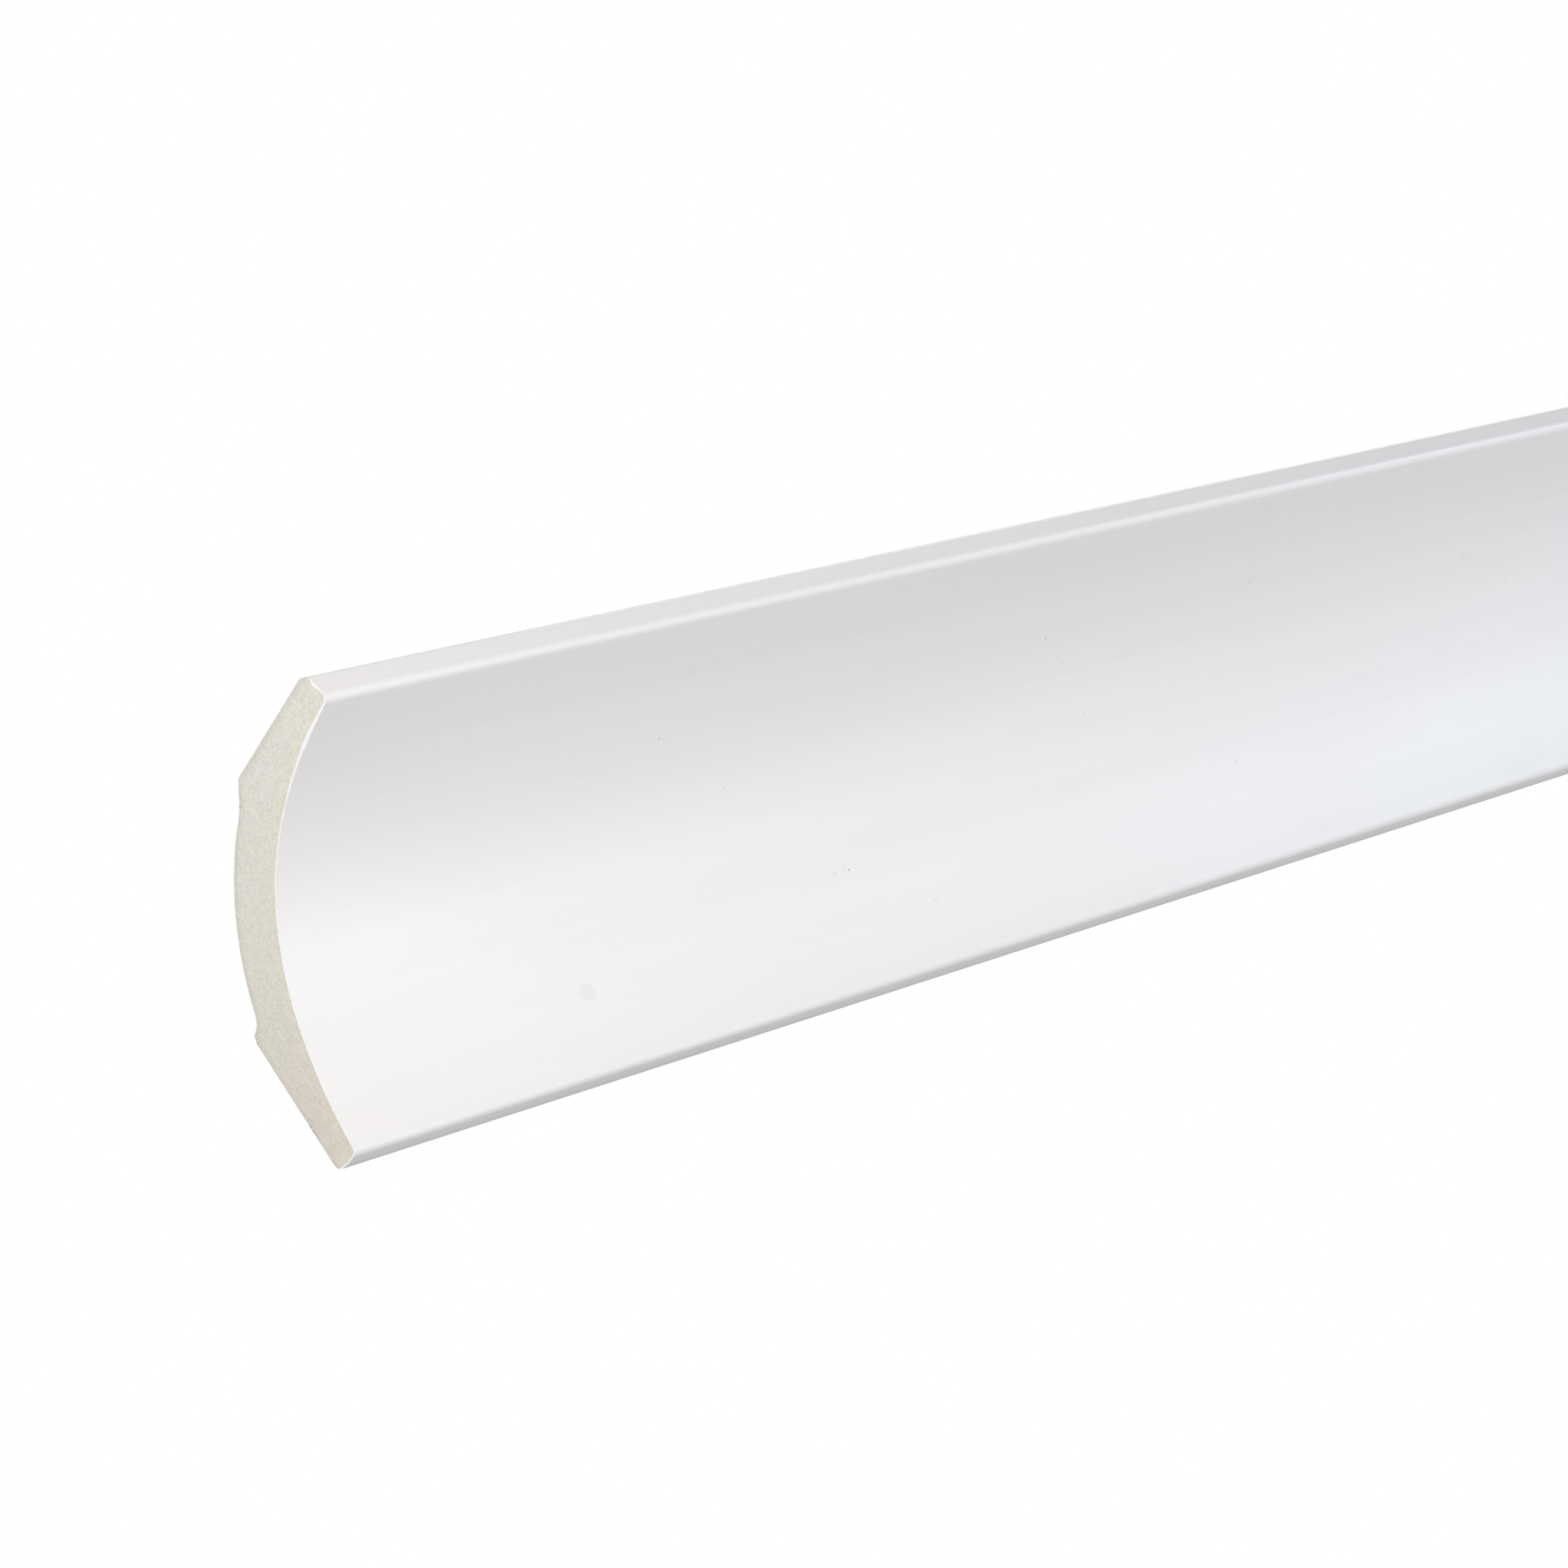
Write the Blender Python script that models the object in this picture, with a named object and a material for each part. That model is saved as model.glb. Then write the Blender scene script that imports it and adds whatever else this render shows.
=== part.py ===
"""A length of plain cove crown moulding, cut square at both ends.

The length runs along X. The wall is the plane y = 0, the ceiling is a level plane above the origin,
and the cove faces the room, towards -Y and -Z. The origin is the middle of the face glued to the wall.
"""

import math

import bpy
from mathutils import Vector

# Overall sizes, in metres
LENGTH = 1.0
CEILING_LEG = 0.0788
WALL_LEG = 0.0760

# Flat faces glued to the ceiling and to the wall
CEILING_FACE = 0.0362
WALL_FACE = 0.0367

# Steps from the glued faces down to the curved back
CEILING_STEP_RUN = 0.0049
CEILING_STEP_DEPTH = 0.0048
WALL_STEP_RUN = 0.0006
WALL_STEP_DEPTH = 0.0039

# Body between the back and the cove, at the middle
BODY_THICKNESS = 0.0145
BACK_RISE = 0.0048

# Upper lip, whose face leans out into the room, and lower lip, whose face leans down
UPPER_LIP_FACE = 0.0091
UPPER_LIP_LEAN = 0.0019
LOWER_LIP_FACE = 0.0083
LOWER_LIP_LEAN = 0.0010

# How far each rounded edge reaches from its corner
UPPER_EDGE_ROUND = 0.0027
LOWER_EDGE_ROUND = 0.0019
RIDGE_ROUND = 0.0011
STEP_ROUND = 0.0028
NOSE_ROUND_UP_LIP = 0.0044
NOSE_ROUND_INTO_COVE = 0.0017
TIP_ROUND = 0.0017

# Straight pieces that stand for each curve
COVE_SEGMENTS = 40
BACK_SEGMENTS = 20
ROUND_SEGMENTS = 6

WHITE_COAT = (0.83, 0.82, 0.81, 1.0)
COAT_ROUGHNESS = 0.45


def clear_scene():
    for obj in list(bpy.data.objects):
        bpy.data.objects.remove(obj, do_unlink=True)


def outward_of(start, end):
    """Unit vector square to the chord, pointing out of an outline that runs anticlockwise."""
    along = (end - start).normalized()
    return Vector((along.y, -along.x))


def rounded_edge(before, corner, after, reach_before, reach_after):
    """Points of a conic that rounds a corner. With two equal reaches it is a circular arc."""
    start = corner + (before - corner).normalized() * reach_before
    end = corner + (after - corner).normalized() * reach_after
    weight = math.cos((corner - start).angle(end - corner) / 2)
    points = []
    for i in range(ROUND_SEGMENTS + 1):
        t = i / ROUND_SEGMENTS
        shares = ((1 - t) ** 2, 2 * t * (1 - t) * weight, t**2)
        weighted = start * shares[0] + corner * shares[1] + end * shares[2]
        points.append(weighted / sum(shares))
    return points


def arc_between(start, end, rise):
    """Points strictly between two ends, on the arc that stands out by rise at its middle."""
    half_chord = (end - start).length / 2
    radius = (half_chord**2 + rise**2) / (2 * rise)
    half_turn = math.atan2(half_chord, radius - rise)
    along = (end - start).normalized()
    outward = outward_of(start, end)
    centre = (start + end) / 2 + outward * (rise - radius)
    points = []
    for i in range(1, BACK_SEGMENTS):
        turn = half_turn * (2 * i / BACK_SEGMENTS - 1)
        points.append(centre + along * radius * math.sin(turn) + outward * radius * math.cos(turn))
    return points


def parabola_between(start, end, through):
    """Points strictly between two ends, on the parabola with its axis square to them."""
    middle = (start + end) / 2
    half_chord = (end - start) / 2
    outward = outward_of(start, end)
    share = (through - middle).dot(half_chord) / half_chord.length_squared
    sag = (through - middle).dot(outward) / (1 - share**2)
    points = []
    for i in range(1, COVE_SEGMENTS):
        t = 2 * i / COVE_SEGMENTS - 1
        points.append(middle + half_chord * t + outward * sag * (1 - t**2))
    return points


def moulding_outline():
    """The section's outline, anticlockwise: x is out from the wall, y is up from the origin."""
    ceiling = WALL_LEG - WALL_FACE / 2
    foot = ceiling - WALL_LEG

    upper_edge = Vector((CEILING_LEG, ceiling))
    upper_ridge = Vector((CEILING_LEG - CEILING_FACE, ceiling))
    upper_step = upper_ridge - Vector((CEILING_STEP_RUN, CEILING_STEP_DEPTH))
    lower_ridge = Vector((0, foot + WALL_FACE))
    lower_step = lower_ridge + Vector((WALL_STEP_DEPTH, WALL_STEP_RUN))
    lower_edge = Vector((0, foot))
    tip = lower_edge + Vector((LOWER_LIP_FACE, -LOWER_LIP_LEAN))
    nose = upper_edge + Vector((UPPER_LIP_LEAN, -UPPER_LIP_FACE))

    back = arc_between(upper_step, lower_step, BACK_RISE)
    to_cove = outward_of(upper_step, lower_step) * (BACK_RISE - BODY_THICKNESS)
    cove = parabola_between(tip, nose, (upper_step + lower_step) / 2 + to_cove)

    return (
        rounded_edge(nose, upper_edge, upper_ridge, UPPER_EDGE_ROUND, UPPER_EDGE_ROUND)
        + rounded_edge(upper_edge, upper_ridge, upper_step, RIDGE_ROUND, RIDGE_ROUND)
        + rounded_edge(upper_ridge, upper_step, back[0], STEP_ROUND, STEP_ROUND)
        + back
        + rounded_edge(back[-1], lower_step, lower_ridge, STEP_ROUND, STEP_ROUND)
        + rounded_edge(lower_step, lower_ridge, lower_edge, RIDGE_ROUND, RIDGE_ROUND)
        + rounded_edge(lower_ridge, lower_edge, tip, LOWER_EDGE_ROUND, LOWER_EDGE_ROUND)
        + rounded_edge(lower_edge, tip, cove[0], TIP_ROUND, TIP_ROUND)
        + cove
        + rounded_edge(cove[-1], nose, upper_edge, NOSE_ROUND_INTO_COVE, NOSE_ROUND_UP_LIP)
    )


def white_coat_material():
    material = bpy.data.materials.new("white_coat")
    material.use_nodes = True
    shader = material.node_tree.nodes["Principled BSDF"]
    shader.inputs["Base Color"].default_value = WHITE_COAT
    shader.inputs["Roughness"].default_value = COAT_ROUGHNESS
    shader.inputs["Metallic"].default_value = 0.0
    return material


def crown_moulding(collection):
    """The section drawn as a filled flat curve, given its length, and turned to run along X."""
    outline = moulding_outline()
    curve = bpy.data.curves.new("crown_moulding", type="CURVE")
    curve.dimensions = "2D"
    curve.fill_mode = "BOTH"
    curve.extrude = LENGTH / 2
    spline = curve.splines.new("POLY")
    spline.points.add(len(outline) - 1)
    for point, place in zip(spline.points, outline):
        point.co = (place.x, place.y, 0, 1)
    spline.use_cyclic_u = True
    spline.use_smooth = True
    curve.materials.append(white_coat_material())

    obj = bpy.data.objects.new("crown_moulding", curve)
    obj.rotation_euler = (math.radians(90), 0, math.radians(-90))
    collection.objects.link(obj)
    return obj


def build():
    clear_scene()
    collection = bpy.data.collections.new("crown_moulding_length")
    bpy.context.scene.collection.children.link(collection)
    crown_moulding(collection)


build()
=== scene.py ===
"""A length of plain cove crown moulding: foam, with a white satin coat on the side that faces the room.

Sizes are in metres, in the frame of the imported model. The length runs along X, the wall is the plane
y = 0, the ceiling lies on the level face at the top, and the cove faces the room, towards -Y and -Z.
A section point is (out, up): out from the wall, and up from the origin.
"""

import math
import random

import bmesh
import bpy
import numpy as np
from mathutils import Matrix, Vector, geometry, noise


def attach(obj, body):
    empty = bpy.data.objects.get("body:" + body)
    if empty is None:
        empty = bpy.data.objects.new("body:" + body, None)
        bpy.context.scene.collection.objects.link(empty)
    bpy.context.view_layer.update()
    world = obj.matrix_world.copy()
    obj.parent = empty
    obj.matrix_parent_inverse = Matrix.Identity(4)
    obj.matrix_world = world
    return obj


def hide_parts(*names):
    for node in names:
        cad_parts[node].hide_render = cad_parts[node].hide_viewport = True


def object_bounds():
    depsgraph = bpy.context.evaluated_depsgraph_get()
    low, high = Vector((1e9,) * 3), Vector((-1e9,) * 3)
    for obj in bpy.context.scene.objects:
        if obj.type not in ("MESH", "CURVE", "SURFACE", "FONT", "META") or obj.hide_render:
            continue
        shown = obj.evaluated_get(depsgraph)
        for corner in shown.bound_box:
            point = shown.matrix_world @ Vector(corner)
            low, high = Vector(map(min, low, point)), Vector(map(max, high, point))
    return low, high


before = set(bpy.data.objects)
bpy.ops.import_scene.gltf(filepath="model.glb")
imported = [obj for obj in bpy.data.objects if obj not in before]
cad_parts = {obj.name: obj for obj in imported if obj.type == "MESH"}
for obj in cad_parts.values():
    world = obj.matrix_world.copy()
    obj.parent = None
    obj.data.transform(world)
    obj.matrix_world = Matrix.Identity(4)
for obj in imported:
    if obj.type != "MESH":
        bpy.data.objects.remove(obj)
cad_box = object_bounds()

NODE = "crown_moulding"
SEED = 7

# Material slots of the moulding
COAT_SLOT, FOAM_SLOT, BACK_SLOT, CUT_COAT_SLOT = range(4)

# Mesh of the moulding: points along its section, rows along its length, and points on its cut ends
WELD = 1e-6
OUTLINE_SPACING = 0.0006
STRAIGHT_RATIO = 2.5
ROWS_NEAR_END = (0.0004, 0.0009, 0.0016, 0.003, 0.006, 0.012, 0.024)
ROW_SPACING = 0.05
END_SPACING = 0.0006
END_CLEARANCE = 0.0004
END_POINT_WANDER = 0.5

# Directions in which the edges of the section are its furthest points
UPPER_EDGE_LIES = (1, 1)
LOWER_EDGE_LIES = (-1, -1)
NOSE_LIES = (1, -0.4)
TIP_LIES = (0.4, -1)

# Nose of the upper lip: an even round between the straight lip and the cove, which is cut in below it
NOSE_REACH = 0.0020
NOSE_POINTS = 9
NOSE_ROUND_IN_CAD = (0.0025, 0.0034)
UNDERCUT = 0.0001
UNDERCUT_FADES = (0.004, 0.011)

# Upper edge: a narrow chamfer with softened corners, from the lip to the ceiling face
CHAMFER_ON_LIP = 0.00165
CHAMFER_ON_CEILING = 0.0020
CHAMFER_ROUND = 0.0003
UPPER_ROUND_IN_CAD = (0.0018, 0.0018)

# Fine relief of the room side: a shallow hollow in the upper lip, and a lower lip that is slightly full
LIP_HOLLOW = 0.00005
LIP_HOLLOW_ABOVE_NOSE = 0.0030
LIP_HOLLOW_REACH = 0.0022
LIP_CROWN = 0.00018

# The coat as the cut shows it: a skin that thins down the cove, with a thicker run below the nose
SKIN_THICK = 0.0004
SKIN_THIN = 0.00018
SKIN_THINS = (0.045, 0.070)
RUN_THICKNESS = 0.0003
RUN_STARTS = (0, 0.005)
RUN_ENDS = (0.022, 0.030)

# Pools in the coat: distance below the nose, or above it where negative, then reach and added thickness
POOLS_BELOW_NOSE = (
    (0.0120, 0.0095, 0.00032),
    (-0.0042, 0.0016, 0.00045),
    (-0.0012, 0.0018, -0.00015),
)

# Edges of the coat: how it tapers off at the back, and how its line on the cut wanders
COAT_TAPER = 0.001
COAT_TAPER_OVERLAP = 0.00025
COAT_WANDER = 0.00006
COAT_WANDER_SIZE = 0.0007

# What the saw left: an edge that wanders inward, and foam set back a little, with its cells opened
EDGE_WANDER = 0.00012
EDGE_WANDER_SIZE = 0.0011
CELL_DEPTH = 0.00006
CELL_SIZE = 0.0009
FOAM_SET_BACK = 0.00003

# Chips at the near end: (out, up) of the middle, reach and depth
CHIPS = (
    ((0.0000, 0.0178), 0.0013, 0.0005),
    ((0.0415, 0.0572), 0.0012, 0.0004),
    ((0.0006, -0.0086), 0.0016, 0.0002),
)

# Share of a chip's depth by which the foam behind it moves in
CHIP_SHARE_BEHIND = 0.5

# Dirt on the near cut end: (out, up) of the middle, and reach
STAINS = (
    ((0.0003, 0.0177), 0.0006),
    ((0.0001, 0.0168), 0.0004),
    ((0.0399, 0.0550), 0.0005),
    ((0.0383, 0.0537), 0.0004),
    ((0.0001, -0.0062), 0.0005),
    ((0.0001, -0.0073), 0.0006),
    ((0.0001, -0.0084), 0.0006),
    ((0.0001, -0.0095), 0.0005),
)

# Marks on the coat, which are dust specks and one faint round painted shade: distances from the near end
# and below the nose, then reach and depth of colour
PAINTED_SHADE_SPOT = ((0.0795, 0.0912), 0.0030, 0.09)
SPECKS = (
    ((0.1718, 0.0809), 0.0005, 0.55),
    ((0.1665, 0.0804), 0.0004, 0.22),
    ((0.1670, 0.0809), 0.0005, 0.30),
    ((0.1703, 0.0799), 0.0004, 0.16),
    ((0.1701, 0.0809), 0.0004, 0.20),
    ((0.1954, 0.0942), 0.0004, 0.18),
    ((0.1959, 0.0947), 0.0004, 0.20),
    ((0.2486, 0.0348), 0.0005, 0.45),
    ((0.2489, 0.0354), 0.0004, 0.25),
    ((0.1123, 0.0366), 0.0004, 0.50),
    ((0.2674, 0.0588), 0.0004, 0.30),
    ((0.4333, 0.0409), 0.0006, 0.25),
    ((0.3230, 0.0819), 0.0005, 0.25),
    ((0.3312, 0.0327), 0.0005, 0.25),
    ((0.4559, 0.0521), 0.0005, 0.25),
    ((0.1357, 0.0535), 0.0006, 0.13),
    ((0.2578, 0.0434), 0.0008, 0.08),
)

# Share of its reach over which a stain or a mark is darkest
STAIN_DARKEST_SHARE = 1 / 3
MARK_DARKEST_SHARE = 0.5

# Finishes: linear colours
COAT_WHITE = (0.86, 0.855, 0.85, 1)
COAT_SHADE = (0.845, 0.842, 0.838, 1)
# Dark colour of the dust specks, and of the faint round painted shade on the coat
COAT_DIRT_AND_SHADE = (0.35, 0.34, 0.32, 1)
COAT_CUT = (0.785, 0.860, 0.950, 1)
COAT_CUT_SHADE = (0.74, 0.81, 0.90, 1)
FOAM_PALE = (0.638, 0.686, 0.682, 1)
FOAM_WARM = (0.605, 0.618, 0.588, 1)
FOAM_YELLOW = (0.668, 0.690, 0.610, 1)
# Darker foam by the back, partly its own colour and partly painted shade; also the colour of the lines
# on the back
FOAM_RIM_TONE_AND_SHADE = (0.524, 0.553, 0.537, 1)
FOAM_CELL = (0.42, 0.41, 0.35, 1)
FOAM_WALL = (0.86, 0.86, 0.82, 1)
FOAM_DIRT = (0.20, 0.16, 0.12, 1)
SKIN_PALE = (0.70, 0.69, 0.63, 1)
SKIN_DEEP = (0.64, 0.63, 0.56, 1)
FLOOR_COLOUR = (0.89, 0.85, 0.83, 1)

# Finishes: roughness from the smoother places to the rougher ones, and the weaker highlights of foam
COAT_ROUGHNESS = (0.37, 0.44)
CUT_COAT_ROUGHNESS = (0.5, 0.62)
FOAM_ROUGHNESS = (0.82, 0.95)
BACK_ROUGHNESS = 0.72
WRAPPED_COAT_ROUGHNESS = 0.45
FLOOR_ROUGHNESS = 0.8
FOAM_SPECULAR = 0.25

# Finishes: sizes of grains in metres, and how far some are drawn out along each axis
COAT_BANDS = 0.004
COAT_BAND_STRETCH = (60, 1, 1)
COAT_PEEL = 0.0009
COAT_PATCHES = 0.03
COAT_PATCH_STRETCH = (2, 1, 1)
CUT_COAT_GRAINS = 0.0006
FOAM_CELLS = 0.0006
FOAM_CLUMPS = 0.0022
FOAM_CLOUDS = 0.006
BACK_LINES = 0.0011
BACK_LINE_STRETCH = (150, 1, 1)
BACK_PORES = 0.0006
BACK_CLOUDS = 0.02
BACK_CLOUD_STRETCH = (3, 1, 1)
WRAP_RAGGED = 0.0015
WRAP_RAGGED_STRETCH = (3, 1, 1)

# Finishes: a range of noise, and the shares of the darker or paler colour that it is taken to
NOISE_MIDDLE = (0.3, 0.7)
CUT_COAT_SHADING = (0.4, 0.8, 0.0, 0.6)
CELL_SHADING = (0.35, 0.75, 0.0, 0.4)
CLUMP_SHADING = (0.4, 0.75, 0.0, 0.12)
LINE_SHADING = (0.45, 0.75, 0.0, 0.4)
YELLOW_PATCHES = (0.3, 0.65, 0.3, 1.0)

# Finishes: strength and depth of bumps
PEEL_BUMPS = (0.25, 0.00003)
BAND_BUMPS = (0.3, 0.00005)
CUT_COAT_BUMPS = (0.3, 0.00004)
CELL_BUMPS = (0.5, 0.0001)
LINE_BUMPS = (0.4, 0.0001)
PORE_BUMPS = (0.3, 0.00005)

# Foam of the cut ends: warm at the bottom and pale at the top, yellower by the coat, and darker by the
# back, which is partly its own colour and partly painted shade
WARM_TO_PALE = (-0.02, 0.05)
YELLOW_REACH = 0.0050
YELLOW_SHARE = 0.6
RIM_REACH = 0.0022
RIM_SHARE = 0.7
STAIN_SHARE = 0.75

# Coat that wraps over the edges of the back: how far, and how softly it ends
WRAP_REACH = (0.0022, 0.0040)
WRAP_FADE = 0.0006

# Camera, at the angle of the photograph: place, turn in degrees, and lens and sensor in millimetres
CAMERA_PLACE = (-1.0341, -0.6597, -0.3150)
CAMERA_TURN = (114.3944, 33.0453, -33.6649)
CAMERA_LENS = 95.12
SENSOR = 36

# Studio: the floor, the light from all round, and the white seen behind the moulding
FLOOR_HEIGHT = -2.94
FLOOR_SIZE = 60
AMBIENT = (0.230, 0.226, 0.224, 1)
BACKGROUND = (1, 1, 1, 1)

# Light from straight above: strength, and spread in degrees
OVERHEAD_STRENGTH = 0.72
OVERHEAD_SPREAD = 80

# Place that the soft boxes are turned to
AIM = (-0.4, -0.04, 0.02)

# Soft boxes: degrees below level and degrees along the length, then distance, size, watts and colour
LIGHTS = {
    "key": (30, 0, 2.0, 0.8, 9.4, (0.936, 0.962, 1)),
    "key_right": (45, 30, 2.0, 0.8, 7.3, (0.76, 0.885, 1)),
    "right": (0, 60, 2.0, 0.8, 6.1, (0.75, 0.87, 1)),
    "near_end": (10, -75, 0.9, 0.4, 4.0, (1, 0.87, 0.75)),
    "near_side": (-20, -50, 0.9, 0.4, 2.5, (1, 0.95, 0.91)),
    "far_end": (0, 90, 2.0, 0.8, 3.5, (1, 0.97, 0.93)),
    "above": (-100, 50, 2.0, 0.8, 5, (1, 1, 1)),
    "behind": (-165, 10, 2.0, 0.8, 22, (1, 1, 1)),
}


def cad_section(node):
    """The section of the CAD solid as a closed loop of points, read from the rim of its near end."""
    mesh = bmesh.new()
    mesh.from_mesh(node.data)
    bmesh.ops.remove_doubles(mesh, verts=mesh.verts, dist=WELD)
    near = min(vert.co.x for vert in mesh.verts) + WELD
    neighbours = {}
    for edge in mesh.edges:
        first, second = edge.verts
        on_end = [all(vert.co.x < near for vert in face.verts) for face in edge.link_faces]
        if first.co.x < near and second.co.x < near and on_end.count(True) == 1:
            neighbours.setdefault(first, []).append(second)
            neighbours.setdefault(second, []).append(first)
    loop = [min(neighbours, key=lambda vert: vert.co.y)]
    loop.append(neighbours[loop[0]][0])
    while len(loop) < len(neighbours):
        one, other = neighbours[loop[-1]]
        loop.append(other if one is loop[-2] else one)
    points = [Vector((-vert.co.y, vert.co.z)) for vert in loop]
    mesh.free()
    return points if signed_area(points) > 0 else points[::-1]


def signed_area(points):
    """Area inside a closed loop, positive where it runs anticlockwise."""
    return sum(a.x * b.y - b.x * a.y for a, b in zip(points, points[1:] + points[:1])) / 2


def smooth_outline(corners):
    """Evenly spaced points on a smooth curve through a loop of corners. Long straight runs stay so."""
    steps = [b - a for a, b in zip(corners, corners[1:] + corners[:1])]
    tangents = []
    for before, after in zip(steps[-1:] + steps[:-1], steps):
        short, long = sorted((before, after), key=lambda step: step.length)
        if long.length > STRAIGHT_RATIO * short.length:
            tangents.append(long.normalized())
        else:
            tangent = before.normalized() * after.length + after.normalized() * before.length
            tangents.append(tangent.normalized())
    points = []
    for i, step in enumerate(steps):
        start, end = corners[i], corners[(i + 1) % len(corners)]
        reach = step.length / 3
        handles = (start + tangents[i] * reach, end - tangents[(i + 1) % len(corners)] * reach)
        parts = max(1, round(step.length / OUTLINE_SPACING))
        points += geometry.interpolate_bezier(start, *handles, end, parts + 1)[:-1]
    return points


def furthest(points, direction):
    """Index of the point that lies furthest in a direction."""
    towards = Vector(direction)
    return max(range(len(points)), key=lambda i: points[i].dot(towards))


def outward_normals(points):
    """Unit vectors pointing out of an anticlockwise loop, one for each point."""
    normals = []
    for before, after in zip(points[-1:] + points[:-1], points[1:] + points[:1]):
        along = (after - before).normalized()
        normals.append(Vector((along.y, -along.x)))
    return normals


def smooth_step(low, high, value):
    """0 below a range and 1 above it, with a smooth rise between."""
    share = min(1, max(0, (value - low) / (high - low)))
    return share * share * (3 - 2 * share)


def swell(apart, reach):
    """1 at a place, falling evenly to 0 at its reach."""
    return math.cos(math.pi / 2 * min(1, abs(apart) / reach)) ** 2


def started_at(points, start):
    """The same loop, from another of its points."""
    return points[start:] + points[:start]


def cut_in_below_nose(corners):
    """The loop with the cove moved in a little close below the nose."""
    nose = furthest(corners, NOSE_LIES)
    normals = outward_normals(corners)
    moved = list(corners)
    for i in range(nose - len(corners) // 2, nose):
        below = (corners[i] - corners[nose]).length
        moved[i] = corners[i] - normals[i] * UNDERCUT * (1 - smooth_step(*UNDERCUT_FADES, below))
    return moved


def drawn_again(corners, lies, reaches, draw):
    """The loop with one of its rounded edges drawn again, between the runs on either side of it."""
    loop = started_at(corners, furthest(corners, lies))
    half = len(loop) // 2
    after = [place for place in loop[:half] if (place - loop[0]).length > reaches[1]]
    before = [place for place in loop[half:] if (place - loop[0]).length > reaches[0]]
    back = (before[-2] - before[-1]).normalized()
    onward = (after[1] - after[0]).normalized()
    across = Vector((-onward.y, onward.x))
    meeting = before[-1] + back * (after[0] - before[-1]).dot(across) / back.dot(across)
    return after + before + draw(meeting, back, onward)


def even_round(meeting, back, onward):
    """Points of a round that is close to an arc."""
    turn = math.pi - back.angle(onward)
    pull = NOSE_REACH * 4 / 3 * math.tan(turn / 4) / math.tan(turn / 2)
    start, end = meeting + back * NOSE_REACH, meeting + onward * NOSE_REACH
    return geometry.interpolate_bezier(start, start - back * pull, end - onward * pull, end, NOSE_POINTS)


def chamfer(meeting, back, onward):
    """Both ends of a chamfer, each as the two ends of its own small round."""
    start, end = meeting + back * CHAMFER_ON_LIP, meeting + onward * CHAMFER_ON_CEILING
    across = (end - start).normalized() * CHAMFER_ROUND
    return [start + back * CHAMFER_ROUND, start + across, end - across, end + onward * CHAMFER_ROUND]


class Section:
    """The outline from its upper edge round the back to its lower edge, then up the room side."""

    def __init__(self, corners):
        corners = drawn_again(cut_in_below_nose(corners), NOSE_LIES, NOSE_ROUND_IN_CAD, even_round)
        points = smooth_outline(drawn_again(corners, UPPER_EDGE_LIES, UPPER_ROUND_IN_CAD, chamfer))
        self.points = started_at(points, furthest(points, UPPER_EDGE_LIES))
        self.lower_edge = furthest(self.points, LOWER_EDGE_LIES)
        self.tip = furthest(self.points, TIP_LIES)
        self.nose = furthest(self.points, NOSE_LIES)
        self.along = [0.0]
        for before, after in zip(self.points, self.points[1:]):
            self.along.append(self.along[-1] + (after - before).length)
        self.add_relief()
        self.normals = outward_normals(self.points)

    def add_relief(self):
        """Moves the outline in and out by the fine relief of the two lips."""
        normals = outward_normals(self.points)
        lower_lip = (self.along[self.lower_edge] + self.along[self.tip]) / 2
        lower_reach = self.along[self.tip] - lower_lip
        for i, along in enumerate(self.along):
            from_hollow = along - self.along[self.nose] - LIP_HOLLOW_ABOVE_NOSE
            out = -LIP_HOLLOW * swell(from_hollow, LIP_HOLLOW_REACH)
            out += LIP_CROWN * swell(along - lower_lip, lower_reach)
            self.points[i] += normals[i] * out

    def place_below_nose(self, distance):
        """The place on the room side that lies a distance below the nose, measured over the cove."""
        target = self.along[self.nose] - distance
        after = next(i for i, along in enumerate(self.along) if along > target)
        step = self.along[after] - self.along[after - 1]
        return self.points[after].lerp(self.points[after - 1], (self.along[after] - target) / step)

    def coat_line(self):
        """Where the cut shows coat meeting foam: the room side, moved in by the coat's thickness."""
        line = []
        for i in range(self.lower_edge + 1, len(self.points)):
            line.append(self.points[i] - self.normals[i] * self.coat_thickness(i))
        return line

    def coat_thickness(self, i):
        """Thickness of the coat at a point of the outline, tapering off at both edges of the back."""
        below_nose = self.along[self.nose] - self.along[i]
        thickness = SKIN_THICK + COAT_WANDER * noise.noise(self.points[i].to_3d() / COAT_WANDER_SIZE)
        if i > self.tip:
            thickness += (SKIN_THIN - SKIN_THICK) * smooth_step(*SKIN_THINS, below_nose)
        run = smooth_step(*RUN_STARTS, below_nose) * (1 - smooth_step(*RUN_ENDS, below_nose))
        thickness += RUN_THICKNESS * run
        for middle, reach, extra in POOLS_BELOW_NOSE:
            thickness += extra * swell(below_nose - middle, reach)
        from_lower = self.along[i] - self.along[self.lower_edge]
        from_edge = min(from_lower, self.along[-1] - self.along[i])
        return thickness * smooth_step(-COAT_TAPER_OVERLAP, COAT_TAPER, from_edge)


def inside(points, loop):
    """Which of an array of points lie inside a closed loop."""
    found = np.zeros(len(points), bool)
    for a, b in zip(loop, np.roll(loop, -1, axis=0)):
        spans = (a[1] > points[:, 1]) != (b[1] > points[:, 1])
        with np.errstate(divide="ignore", invalid="ignore"):
            crossing = a[0] + (points[:, 1] - a[1]) * (b[0] - a[0]) / (b[1] - a[1])
        found ^= spans & (points[:, 0] < crossing)
    return found


def distance_to(points, samples):
    """Distance from each point to the nearest of some samples of a line."""
    apart = points[:, None, :] - samples[None, :, :]
    return np.sqrt((apart**2).sum(axis=2).min(axis=1))


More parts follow.
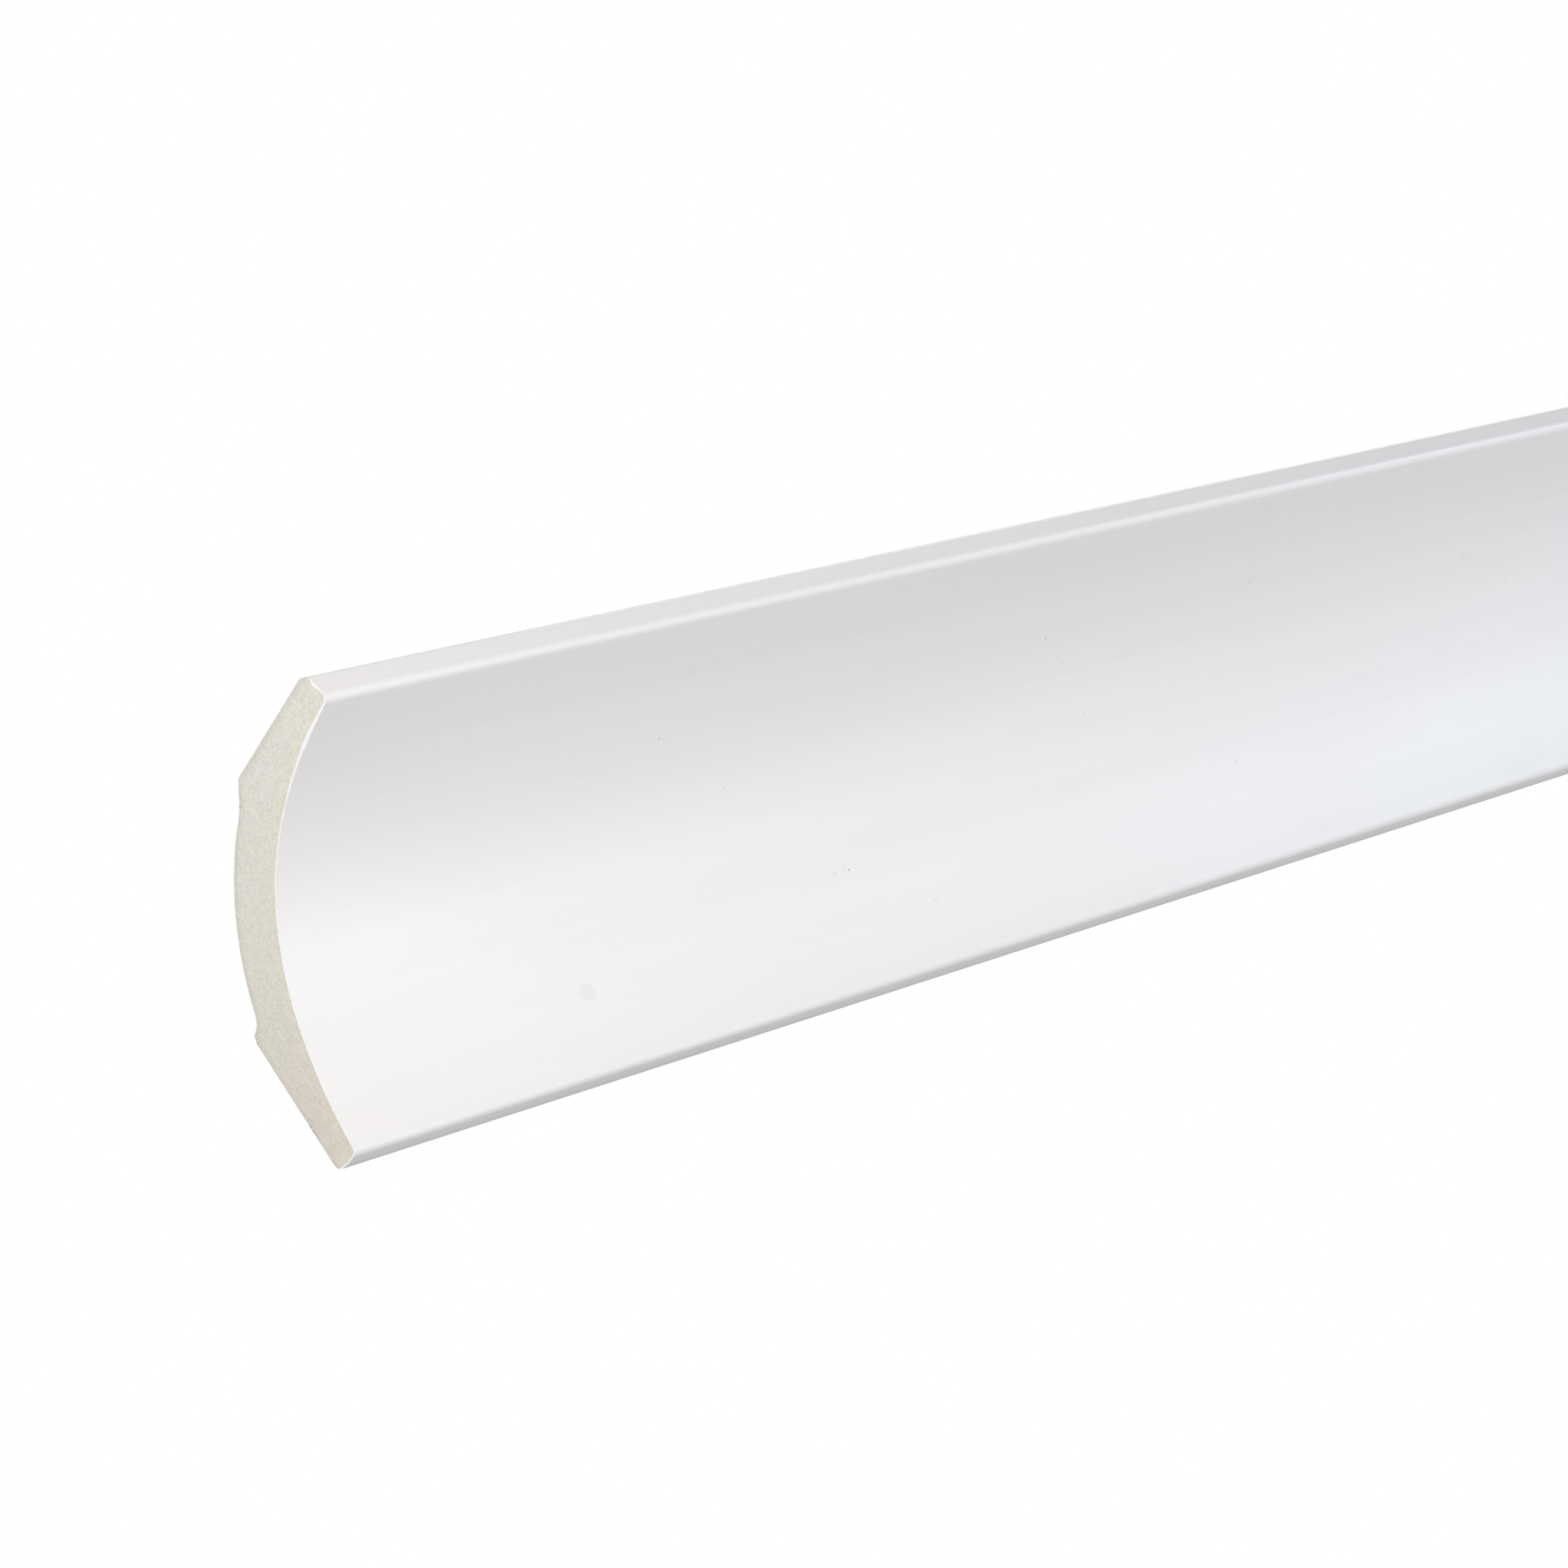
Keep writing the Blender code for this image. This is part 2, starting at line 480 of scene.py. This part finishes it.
def end_lattice(loop, line, chance):
    """Loosely even points inside the section, clear of its outline and of the coat line."""
    low, high = loop.min(axis=0), loop.max(axis=0)
    rise = END_SPACING * math.sqrt(3) / 2
    places = []
    for row in range(int((high[1] - low[1]) / rise)):
        for column in range(int((high[0] - low[0]) / END_SPACING)):
            out = low[0] + (column + row % 2 / 2 + chance.uniform(0, END_POINT_WANDER)) * END_SPACING
            up = low[1] + (row + chance.uniform(0, END_POINT_WANDER)) * rise
            places.append((out, up))
    places = np.array(places)
    places = places[inside(places, loop)]
    return places[distance_to(places, np.vstack([loop, line])) > END_CLEARANCE]


def cut_end(section, chance):
    """Points and triangles of a cut end, and which of the triangles are coat."""
    line = section.coat_line()
    loop = np.array(section.points)
    extra = end_lattice(loop, np.array(line), chance)
    count = len(section.points)
    places = section.points + line + [Vector(place) for place in extra]
    outline_edges = [(i, (i + 1) % count) for i in range(count)]
    ends = [section.lower_edge] + list(range(count, count + len(line))) + [0]
    coat_edges = list(zip(ends, ends[1:]))
    found = geometry.delaunay_2d_cdt(places, outline_edges + coat_edges, [], 0, WELD, True)
    vertices, _, triangles, sources = found[:4]
    middles = [sum((vertices[i] for i in triangle), Vector((0, 0))) / 3 for triangle in triangles]
    middles = np.array(middles)
    filled = inside(middles, loop)
    coat_loop = [section.points[section.lower_edge], *line, section.points[0]]
    coat_loop += section.points[: section.lower_edge : -1]
    coat = inside(middles, np.array(coat_loop))
    kept = [i for i in range(len(triangles)) if filled[i]]
    return vertices, [triangles[i] for i in kept], sources, [coat[i] for i in kept]


def chip_push(place, x):
    """How far a point of the outline is pushed in by the chips at the near end."""
    from_end = x - cad_box[0].x
    push = 0
    for middle, reach, depth in CHIPS:
        apart = math.hypot((place - Vector(middle)).length, from_end)
        push += depth * (1 - smooth_step(0, reach, apart))
    return push


def row_places():
    """Places of the rows along the length, close together near both cut ends."""
    low, high = cad_box[0].x, cad_box[1].x
    start, end = low + ROWS_NEAR_END[-1], high - ROWS_NEAR_END[-1]
    count = round((end - start) / ROW_SPACING)
    middle = [start + (end - start) * i / count for i in range(count + 1)]
    near = [low + step for step in (0, *ROWS_NEAR_END[:-1])]
    far = [high - step for step in (*ROWS_NEAR_END[-2::-1], 0)]
    return near + middle + far


def moulding_mesh(section):
    """One closed mesh of the moulding, with its four finishes and the values that they read."""
    chance = random.Random(SEED)
    rows = row_places()
    mesh = bmesh.new()
    from_coat = mesh.verts.layers.float.new("from_coat")
    from_back = mesh.verts.layers.float.new("from_back")
    from_edge = mesh.verts.layers.float.new("from_edge")
    stain = mesh.verts.layers.float.new("stain")
    rings = [ring_at(mesh, section, x, from_edge) for x in rows]
    for ring, after in zip(rings, rings[1:]):
        for i in range(len(ring)):
            j = (i + 1) % len(ring)
            face = mesh.faces.new((ring[i], ring[j], after[j], after[i]))
            face.material_index = COAT_SLOT if i >= section.lower_edge else BACK_SLOT
    layers = (from_coat, from_back, stain)
    near = end_face(mesh, section, rings[0], cad_box[0].x, 1, layers, chance)
    far = end_face(mesh, section, rings[-1], cad_box[1].x, -1, layers, chance)
    for face in mesh.faces:
        face.smooth = True
    for edge in mesh.edges:
        on_end = [face in near or face in far for face in edge.link_faces]
        edge.smooth = on_end.count(True) != 1
    bmesh.ops.recalc_face_normals(mesh, faces=mesh.faces)
    data = bpy.data.meshes.new("moulding_length")
    mesh.to_mesh(data)
    mesh.free()
    return data


def ring_at(mesh, section, x, from_edge):
    """The outline as a ring of vertices across the length at x. At a cut end it wanders inward."""
    ring = []
    inward = 1 if x < 0 else -1
    at_end = abs(x - cad_box[0].x) < WELD or abs(x - cad_box[1].x) < WELD
    for i, place in enumerate(section.points):
        wander = 0
        if at_end:
            wander = abs(noise.noise(Vector((*place, x)) / EDGE_WANDER_SIZE)) * EDGE_WANDER
        place = place - section.normals[i] * chip_push(place, x)
        vert = mesh.verts.new((x + inward * wander, -place.x, place.y))
        vert[from_edge] = edge_distance(section, i)
        ring.append(vert)
    return ring


def edge_distance(section, i):
    """Distance round the back from the nearer edge of the coat, and none on the room side."""
    if i >= section.lower_edge:
        return 0
    return min(section.along[i], section.along[section.lower_edge] - section.along[i])


def end_face(mesh, section, ring, x, inward, layers, chance):
    """Fills a cut end between its ring: open cells in the foam, and the edge of the coat."""
    from_coat, from_back, stain = layers
    places, triangles, sources, coat = cut_end(section, chance)
    flat = np.array(places)
    back = np.array(section.points[: section.lower_edge + 1])
    to_back = distance_to(flat, back)
    to_coat = distance_to(flat, np.array(section.coat_line()))
    verts = []
    for i, place in enumerate(places):
        on_ring = [source for source in sources[i] if source < len(ring)]
        if on_ring:
            vert = ring[on_ring[0]]
        else:
            depth = FOAM_SET_BACK + CELL_DEPTH * (0.5 + noise.noise(Vector((*place, x)) / CELL_SIZE))
            depth *= smooth_step(0, CELL_SIZE, to_coat[i])
            pushed = place - chip_shift(place, x)
            vert = mesh.verts.new((x + inward * depth, -pushed.x, pushed.y))
        vert[from_coat] = to_coat[i]
        vert[from_back] = to_back[i]
        vert[stain] = stain_at(place) if inward > 0 else 0
        verts.append(vert)
    faces = set()
    for triangle, is_coat in zip(triangles, coat):
        face = mesh.faces.new([verts[i] for i in triangle])
        face.material_index = CUT_COAT_SLOT if is_coat else FOAM_SLOT
        faces.add(face)
    return faces


def chip_shift(place, x):
    """The foam behind a chip moves in with the outline, away from the chip's middle."""
    shift = Vector((0, 0))
    if x > 0:
        return shift
    for middle, reach, depth in CHIPS:
        away = place - Vector(middle)
        if away.length < reach:
            push = depth * CHIP_SHARE_BEHIND * (1 - smooth_step(0, reach, away.length))
            shift -= away.normalized() * push
    return shift


def stain_at(place):
    """How dirty the near cut end is at a point, from 0 to 1."""
    dirt = 0
    for middle, reach in STAINS:
        apart = (place - Vector(middle)).length
        dirt = max(dirt, 1 - smooth_step(reach * STAIN_DARKEST_SHARE, reach, apart))
    return dirt


def add_node(tree, kind, inputs=None, **settings):
    """A shader node. Its inputs are set by name or number, as values or as links from other nodes."""
    made = tree.nodes.new("ShaderNode" + kind)
    for name, value in settings.items():
        setattr(made, name, value)
    for name, value in (inputs or {}).items():
        if isinstance(value, bpy.types.NodeSocket):
            tree.links.new(value, made.inputs[name])
        else:
            made.inputs[name].default_value = value
    return made


def new_material(name):
    """A material with its node tree and its shader."""
    material = bpy.data.materials.new(name)
    material.use_nodes = True
    return material, material.node_tree, material.node_tree.nodes["Principled BSDF"]


def noise_at(tree, place, size, stretch=(1, 1, 1), detail=2.0):
    """A noise value from 0 to 1, in grains of a size in metres, drawn out along each axis."""
    scale = tuple(1 / (size * by) for by in stretch)
    scaled = add_node(tree, "Mapping", {"Vector": place, "Scale": scale})
    grains = add_node(tree, "TexNoise", {"Vector": scaled.outputs[0], "Scale": 1.0, "Detail": detail})
    return grains.outputs["Fac"]


def blend(tree, share, first, second):
    """A colour between two others, each a colour or a link. A Mix node's colours go by socket number."""
    mixed = add_node(tree, "Mix", {"Factor": share, 6: first, 7: second}, data_type="RGBA")
    return mixed.outputs[2]


def ranged(tree, value, low, high, to_low=0.0, to_high=1.0):
    """A value taken smoothly from one range to another, and held at its ends."""
    inputs = {"Value": value, "From Min": low, "From Max": high, "To Min": to_low, "To Max": to_high}
    return add_node(tree, "MapRange", inputs, interpolation_type="SMOOTHSTEP").outputs[0]


def attribute(tree, name):
    """A value that the mesh holds at each point."""
    return add_node(tree, "Attribute", attribute_name=name).outputs["Fac"]


def object_place(tree):
    """The place on the moulding, in metres."""
    return add_node(tree, "TexCoord").outputs["Object"]


def near_point(tree, place, middle, reach):
    """1 close to a point, falling to 0 at its reach."""
    apart = add_node(tree, "VectorMath", {0: place, 1: middle}, operation="DISTANCE").outputs["Value"]
    return ranged(tree, apart, reach * MARK_DARKEST_SHARE, reach, 1.0, 0.0)


def bumps(tree, height, strength, depth, before=None):
    """A bumped normal, on top of an earlier one."""
    inputs = {"Height": height, "Strength": strength, "Distance": depth}
    if before:
        inputs["Normal"] = before
    return add_node(tree, "Bump", inputs).outputs["Normal"]


def coat_colour(tree, place):
    """Colour of the sprayed white coat, and the long soft bands that it follows."""
    bands = noise_at(tree, place, COAT_BANDS, COAT_BAND_STRETCH)
    return blend(tree, ranged(tree, bands, *NOISE_MIDDLE), COAT_WHITE, COAT_SHADE), bands


def coat_material(section):
    """The sprayed satin coat: fine peel, long soft bands, dust specks and a faint round painted shade.
    Specks that meet make a stroke.
    """
    material, tree, shader = new_material("white_coat")
    place = object_place(tree)
    colour, bands = coat_colour(tree, place)
    # Dust specks, and one faint round painted shade, darken the coat
    for (from_end, below_nose), reach, depth in (PAINTED_SHADE_SPOT, *SPECKS):
        spot = section.place_below_nose(below_nose)
        mark = near_point(tree, place, (cad_box[0].x + from_end, -spot.x, spot.y), reach)
        colour = blend(tree, ranged(tree, mark, 0, 1, 0, depth), colour, COAT_DIRT_AND_SHADE)
    patches = noise_at(tree, place, COAT_PATCHES, COAT_PATCH_STRETCH)
    normal = bumps(tree, noise_at(tree, place, COAT_PEEL), *PEEL_BUMPS)
    tree.links.new(colour, shader.inputs["Base Color"])
    tree.links.new(ranged(tree, patches, *NOISE_MIDDLE, *COAT_ROUGHNESS), shader.inputs["Roughness"])
    tree.links.new(bumps(tree, bands, *BAND_BUMPS, normal), shader.inputs["Normal"])
    return material


def cut_coat_material():
    """The coat where the saw cut it: dense, a little bluer than its face, and faintly grainy."""
    material, tree, shader = new_material("cut_coat")
    place = object_place(tree)
    grains = noise_at(tree, place, CUT_COAT_GRAINS, detail=3)
    colour = blend(tree, ranged(tree, grains, *CUT_COAT_SHADING), COAT_CUT, COAT_CUT_SHADE)
    tree.links.new(colour, shader.inputs["Base Color"])
    tree.links.new(ranged(tree, grains, *NOISE_MIDDLE, *CUT_COAT_ROUGHNESS), shader.inputs["Roughness"])
    tree.links.new(bumps(tree, grains, *CUT_COAT_BUMPS), shader.inputs["Normal"])
    return material


def foam_tint(tree, place, clouds):
    """Tint of the cut foam: by its height, its distance from the coat and its distance from the back,
    where painted shade partly darkens it.
    """
    height = add_node(tree, "SeparateXYZ", {0: place}).outputs["Z"]
    colour = blend(tree, ranged(tree, height, *WARM_TO_PALE), FOAM_WARM, FOAM_PALE)
    by_coat = ranged(tree, attribute(tree, "from_coat"), 0.0, YELLOW_REACH, YELLOW_SHARE, 0.0)
    patchy = ranged(tree, clouds, *YELLOW_PATCHES)
    yellowing = add_node(tree, "Math", {0: by_coat, 1: patchy}, operation="MULTIPLY").outputs[0]
    colour = blend(tree, yellowing, colour, FOAM_YELLOW)
    # Darker by the back: partly the foam's own colour, partly painted shade
    back_tone_and_shade = ranged(tree, attribute(tree, "from_back"), 0.0, RIM_REACH, RIM_SHARE, 0.0)
    return blend(tree, back_tone_and_shade, colour, FOAM_RIM_TONE_AND_SHADE)


def cut_foam_material():
    """Fine closed-cell foam as the saw leaves it: grainy, yellower by the coat, darker by the back,
    partly with painted shade.
    """
    material, tree, shader = new_material("cut_foam")
    place = object_place(tree)
    cells = noise_at(tree, place, FOAM_CELLS)
    clumps = noise_at(tree, place, FOAM_CLUMPS)
    clouds = noise_at(tree, place, FOAM_CLOUDS)
    colour = foam_tint(tree, place, clouds)
    colour = blend(tree, ranged(tree, cells, *CELL_SHADING), colour, FOAM_CELL)
    colour = blend(tree, ranged(tree, clumps, *CLUMP_SHADING), colour, FOAM_WALL)
    stained = ranged(tree, attribute(tree, "stain"), 0, 1, 0, STAIN_SHARE)
    tree.links.new(blend(tree, stained, colour, FOAM_DIRT), shader.inputs["Base Color"])
    tree.links.new(ranged(tree, clouds, *NOISE_MIDDLE, *FOAM_ROUGHNESS), shader.inputs["Roughness"])
    tree.links.new(bumps(tree, cells, *CELL_BUMPS), shader.inputs["Normal"])
    shader.inputs["Specular IOR Level"].default_value = FOAM_SPECULAR
    return material


def wrapped_coat(tree, place):
    """Where the coat wraps over an edge of the back, with a ragged end: 1 on the coat, 0 beyond it."""
    ragged = noise_at(tree, place, WRAP_RAGGED, WRAP_RAGGED_STRETCH, detail=4)
    reach = ranged(tree, ragged, *NOISE_MIDDLE, *WRAP_REACH)
    over = add_node(tree, "Math", {0: reach, 1: attribute(tree, "from_edge")}, operation="SUBTRACT")
    return ranged(tree, over.outputs[0], 0.0, WRAP_FADE)


def bare_back_material():
    """The back as it leaves the mould: drawn lines along the length, and coat over both edges."""
    material, tree, shader = new_material("bare_back")
    place = object_place(tree)
    lines = noise_at(tree, place, BACK_LINES, BACK_LINE_STRETCH, detail=3)
    clouds = noise_at(tree, place, BACK_CLOUDS, BACK_CLOUD_STRETCH)
    skin = blend(tree, ranged(tree, clouds, *NOISE_MIDDLE), SKIN_PALE, SKIN_DEEP)
    skin = blend(tree, ranged(tree, lines, *LINE_SHADING), skin, FOAM_RIM_TONE_AND_SHADE)
    coated = wrapped_coat(tree, place)
    colour, _ = coat_colour(tree, place)
    roughness = ranged(tree, coated, 0, 1, BACK_ROUGHNESS, WRAPPED_COAT_ROUGHNESS)
    normal = bumps(tree, lines, *LINE_BUMPS)
    pores = noise_at(tree, place, BACK_PORES)
    tree.links.new(blend(tree, coated, skin, colour), shader.inputs["Base Color"])
    tree.links.new(roughness, shader.inputs["Roughness"])
    tree.links.new(bumps(tree, pores, *PORE_BUMPS, normal), shader.inputs["Normal"])
    return material


def moulding():
    """The whole length, in place of the CAD node. Its materials are in the order of the slots."""
    section = Section(cad_section(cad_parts[NODE]))
    obj = bpy.data.objects.new("moulding_length", moulding_mesh(section))
    obj.data.materials.append(coat_material(section))
    obj.data.materials.append(cut_foam_material())
    obj.data.materials.append(bare_back_material())
    obj.data.materials.append(cut_coat_material())
    bpy.context.scene.collection.objects.link(obj)
    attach(obj, "root")
    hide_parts(NODE)


def floor():
    """A plain pale floor, far below the moulding."""
    half = FLOOR_SIZE / 2
    corners = ((-half, -half), (half, -half), (half, half), (-half, half))
    data = bpy.data.meshes.new("floor")
    data.from_pydata([(x, y, FLOOR_HEIGHT) for x, y in corners], [], [(0, 1, 2, 3)])
    material, _, shader = new_material("floor_paint")
    shader.inputs["Base Color"].default_value = FLOOR_COLOUR
    shader.inputs["Roughness"].default_value = FLOOR_ROUGHNESS
    data.materials.append(material)
    obj = bpy.data.objects.new("floor", data)
    bpy.context.scene.collection.objects.link(obj)


def background():
    """Plain white behind the object, and an even soft light from all round."""
    world = bpy.data.worlds.new("studio")
    world.use_nodes = True
    tree = world.node_tree
    tree.nodes.clear()
    white = add_node(tree, "Background", {"Color": BACKGROUND})
    soft = add_node(tree, "Background", {"Color": AMBIENT})
    seen = add_node(tree, "LightPath").outputs["Is Camera Ray"]
    mixed = add_node(tree, "MixShader", {0: seen, 1: soft.outputs[0], 2: white.outputs[0]})
    tree.links.new(mixed.outputs[0], add_node(tree, "OutputWorld").inputs["Surface"])
    bpy.context.scene.world = world
    bpy.context.scene.view_settings.view_transform = "Standard"


def soft_light(name, below, along, distance, size, watts, colour):
    """A square soft box turned to the aim, which the camera doesn't see."""
    below, along = math.radians(below), math.radians(along)
    across = math.cos(along)
    towards = Vector((math.sin(along), -across * math.cos(below), -across * math.sin(below)))
    lamp = bpy.data.lights.new(name, type="AREA")
    lamp.size = size
    lamp.energy = watts
    lamp.color = colour
    obj = bpy.data.objects.new(name, lamp)
    obj.location = Vector(AIM) + towards * distance
    obj.rotation_mode = "QUATERNION"
    obj.rotation_quaternion = (-towards).to_track_quat("-Z", "Y")
    obj.visible_camera = False
    bpy.context.scene.collection.objects.link(obj)


def overhead_light():
    """Very soft light from straight above, mostly for the floor and the upper faces."""
    lamp = bpy.data.lights.new("overhead", type="SUN")
    lamp.energy = OVERHEAD_STRENGTH
    lamp.angle = math.radians(OVERHEAD_SPREAD)
    bpy.context.scene.collection.objects.link(bpy.data.objects.new("overhead", lamp))


def camera():
    """The camera, where the photograph was taken from."""
    data = bpy.data.cameras.new("camera")
    data.lens = CAMERA_LENS
    data.sensor_width = SENSOR
    obj = bpy.data.objects.new("camera", data)
    obj.location = CAMERA_PLACE
    obj.rotation_euler = [math.radians(turn) for turn in CAMERA_TURN]
    bpy.context.scene.collection.objects.link(obj)
    bpy.context.scene.camera = obj


moulding()
floor()
background()
for light, facts in LIGHTS.items():
    soft_light(light, *facts)
overhead_light()
camera()
